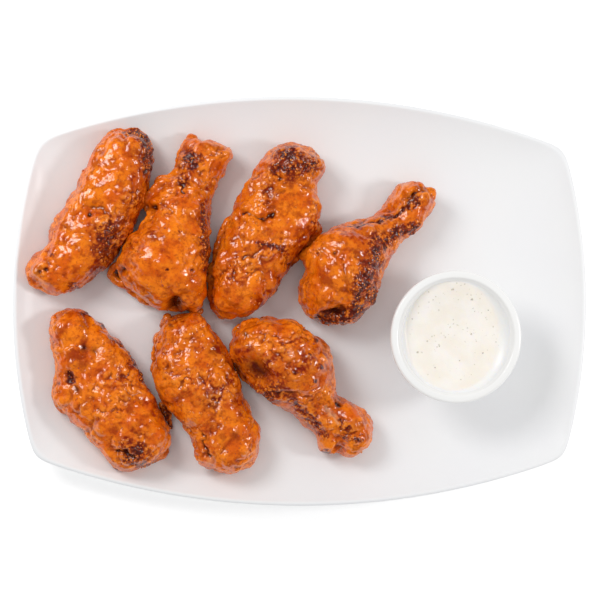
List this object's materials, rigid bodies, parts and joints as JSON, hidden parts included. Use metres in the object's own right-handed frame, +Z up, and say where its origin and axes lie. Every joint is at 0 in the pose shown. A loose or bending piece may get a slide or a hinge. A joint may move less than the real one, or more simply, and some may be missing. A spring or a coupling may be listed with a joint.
{
  "type": "chicken wings serving",
  "caption": "Sauced, battered chicken wings on a white rectangular coupe plate with a small pot of creamy dip, for food and table scenes.",
  "frame": {"origin": "the middle of the plate's foot, on the surface it stands on", "axes": "+X along the plate, towards the pot of dip; +Y across the plate; +Z up"},
  "size_m": [0.2858, 0.2032, 0.0401],
  "materials": {
    "plate_glaze": "glossy white glaze",
    "ramekin_glaze": "glossy white glaze",
    "cream_dip": "soft satin cream with herb specks",
    "sauced_crust": "glossy orange-brown sauce over crisp batter"
  },
  "bodies": {
    "root": {"plate": "plate_glaze", "ramekin": "ramekin_glaze", "dip": "cream_dip", "wing_flat_1": "sauced_crust", "wing_flat_2": "sauced_crust", "wing_flat_3": "sauced_crust", "wing_flat_4": "sauced_crust", "wing_drumette_1": "sauced_crust", "wing_drumette_2": "sauced_crust", "wing_drumette_3": "sauced_crust"}
  },
  "joints": []
}
